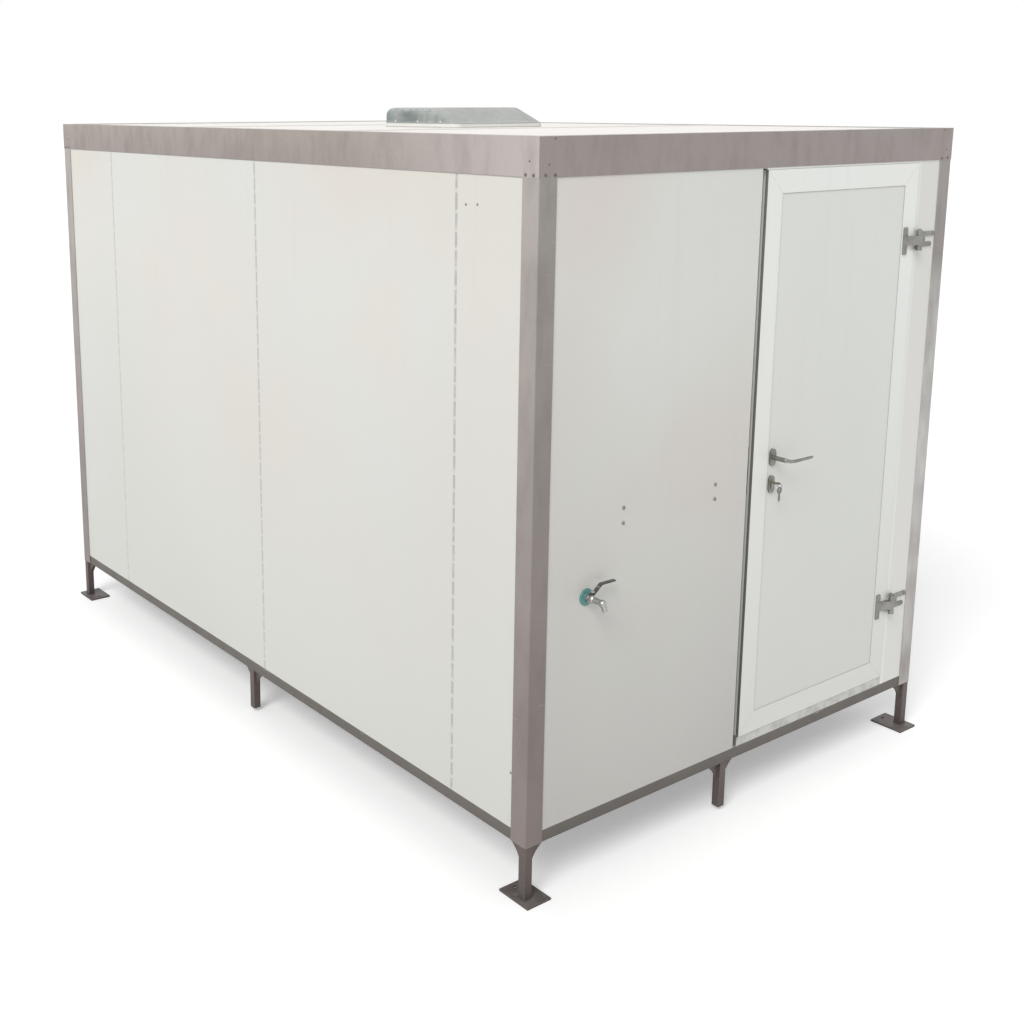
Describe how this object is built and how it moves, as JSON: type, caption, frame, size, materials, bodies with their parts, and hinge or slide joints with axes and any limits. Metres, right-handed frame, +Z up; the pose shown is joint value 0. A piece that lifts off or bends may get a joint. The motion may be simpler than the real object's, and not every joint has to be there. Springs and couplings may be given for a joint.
{
  "type": "sanitary container",
  "caption": "Prefabricated washroom cabin of sandwich panels in a steel frame on legs, with a lockable door, an outside tap and a rooflight.",
  "frame": {"origin": "on the ground at the centre of the four anchor holes", "axes": "+Z up, the door is in the front, which faces -Y, and the cabin's length runs along Y; seen from the front, +X is to the right"},
  "size_m": [2.11, 3.481, 2.4658],
  "materials": {
    "post_steel": "semi-gloss warm grey paint",
    "base_steel": "satin dark grey paint",
    "galvanised": "dull zinc grey",
    "panel_white": "satin off-white coated steel",
    "profile_white": "satin white paint",
    "field_grey": "satin light grey coated steel",
    "floor": "matt grey sheet flooring",
    "sill_aluminium": "dull",
    "hinge_steel": "satin",
    "lock_steel": "satin",
    "handle": "satin",
    "brass": "satin",
    "key_steel": "satin",
    "rubber": "matt black",
    "curb": "satin white",
    "dome": "translucent, weathered",
    "flange": "satin blue-green",
    "tap_metal": "dull chrome",
    "tap_lever": "satin dark grey",
    "ceramic": "white glaze",
    "seat": "white",
    "button": "metallised",
    "pipe": "satin grey-green",
    "waste": "satin grey"
  },
  "bodies": {
    "cabin": {"base_rail_front": "base_steel", "base_rail_back": "base_steel", "base_rail_left": "base_steel", "base_rail_right": "base_steel", "floor_joists": "base_steel", "corner_legs": "base_steel", "mid_legs": "base_steel", "corner_post_front_left": "post_steel", "corner_post_front_right": "post_steel", "corner_post_back_left": "post_steel", "corner_post_back_right": "post_steel", "fascia_front": "post_steel", "fascia_back": "post_steel", "fascia_left": "post_steel", "fascia_right": "post_steel", "floor_panel": "floor", "roof_joists": "galvanised", "roof_panels": "panel_white", "rooflight_curb": "curb", "rooflight_cover": "dome", "wall_panels_left": "panel_white", "wall_panels_right": "panel_white", "wall_panels_back": "panel_white", "wall_panels_front": "panel_white", "door_jamb_latch": "sill_aluminium", "door_jamb_hinge": "profile_white", "door_head": "profile_white", "door_sill": "sill_aluminium", "door_stops": "profile_white", "door_seal": "rubber", "strike_plate": "lock_steel", "hinge_brackets": "hinge_steel", "tap_flange": "flange", "tap_body": "tap_metal", "toilet_pan": "ceramic", "toilet_cistern": "ceramic", "washbasin": "ceramic", "basin_brackets": "galvanised", "basin_tap": "tap_metal", "supply_pipe": "pipe", "waste_pipes": "waste"},
    "door": {"hinge_straps": "hinge_steel", "door_leaf_frame": "profile_white", "door_leaf_field": "field_grey", "lock_case": "lock_steel", "escutcheons": "handle", "lock_cylinder": "lock_steel"},
    "handle": {"lever_outside": "handle", "lever_inside": "handle", "lever_spindle": "lock_steel"},
    "latch": {"latch_bolt": "lock_steel"},
    "bolt": {"deadbolt": "lock_steel"},
    "key_body": {"cylinder_plug": "brass", "key": "key_steel"},
    "spare_keys": {"key_ring": "key_steel", "spare_key": "key_steel"},
    "tap_handle": {"tap_lever": "tap_lever"},
    "seat": {"toilet_seat": "seat"},
    "button": {"flush_button": "button"},
    "basin_tap_handle": {"basin_tap_lever": "tap_metal"}
  },
  "joints": [
    {"name": "door_swing", "type": "hinge", "parent": "cabin", "child": "door", "pos_m": [0.845, -1.696, 1.2765], "axis": [0, 0, 1], "range_deg": [0, 110]},
    {"name": "handle_press", "type": "hinge", "parent": "door", "child": "handle", "pos_m": [0.078, -1.658, 1.28], "axis": [0, 1, 0], "range_deg": [0, 40]},
    {"name": "latch_slide", "type": "slide", "parent": "door", "child": "latch", "axis": [1, 0, 0], "range_m": [0, 0.011], "stiffness_N_per_m": 1000, "springref_m": -0.008},
    {"name": "key_turn", "type": "hinge", "parent": "door", "child": "key_body", "pos_m": [0.078, -1.658, 1.192], "axis": [0, -1, 0], "range_deg": [0, 360]},
    {"name": "deadbolt_slide", "type": "slide", "parent": "door", "child": "bolt", "axis": [-1, 0, 0], "range_m": [0, 0.018]},
    {"name": "spare_key_swing", "type": "hinge", "parent": "key_body", "child": "spare_keys", "pos_m": [0.078, -1.7106, 1.192], "axis": [0, 1, 0], "range_deg": [-40, 40]},
    {"name": "tap_turn", "type": "hinge", "parent": "cabin", "child": "tap_handle", "pos_m": [-0.803, -1.705, 0.99], "axis": [0, 0, -1], "range_deg": [0, 90]},
    {"name": "seat_lift", "type": "hinge", "parent": "cabin", "child": "seat", "pos_m": [-0.48, 1.419, 0.688], "axis": [-1, 0, 0], "range_deg": [0, 92]},
    {"name": "flush_press", "type": "slide", "parent": "cabin", "child": "button", "axis": [0, 0, -1], "range_m": [0, 0.006], "stiffness_N_per_m": 500, "springref_m": -0.006},
    {"name": "basin_tap_turn", "type": "hinge", "parent": "cabin", "child": "basin_tap_handle", "pos_m": [-0.43, -1.577, 1.29], "axis": [0, 0, 1], "range_deg": [0, 90]}
  ],
  "couplings": [
    {"joint": "handle_press", "follows": "latch_slide", "rad_per_m": 63.466},
    {"joint": "key_turn", "follows": "deadbolt_slide", "rad_per_m": 349.06}
  ]
}
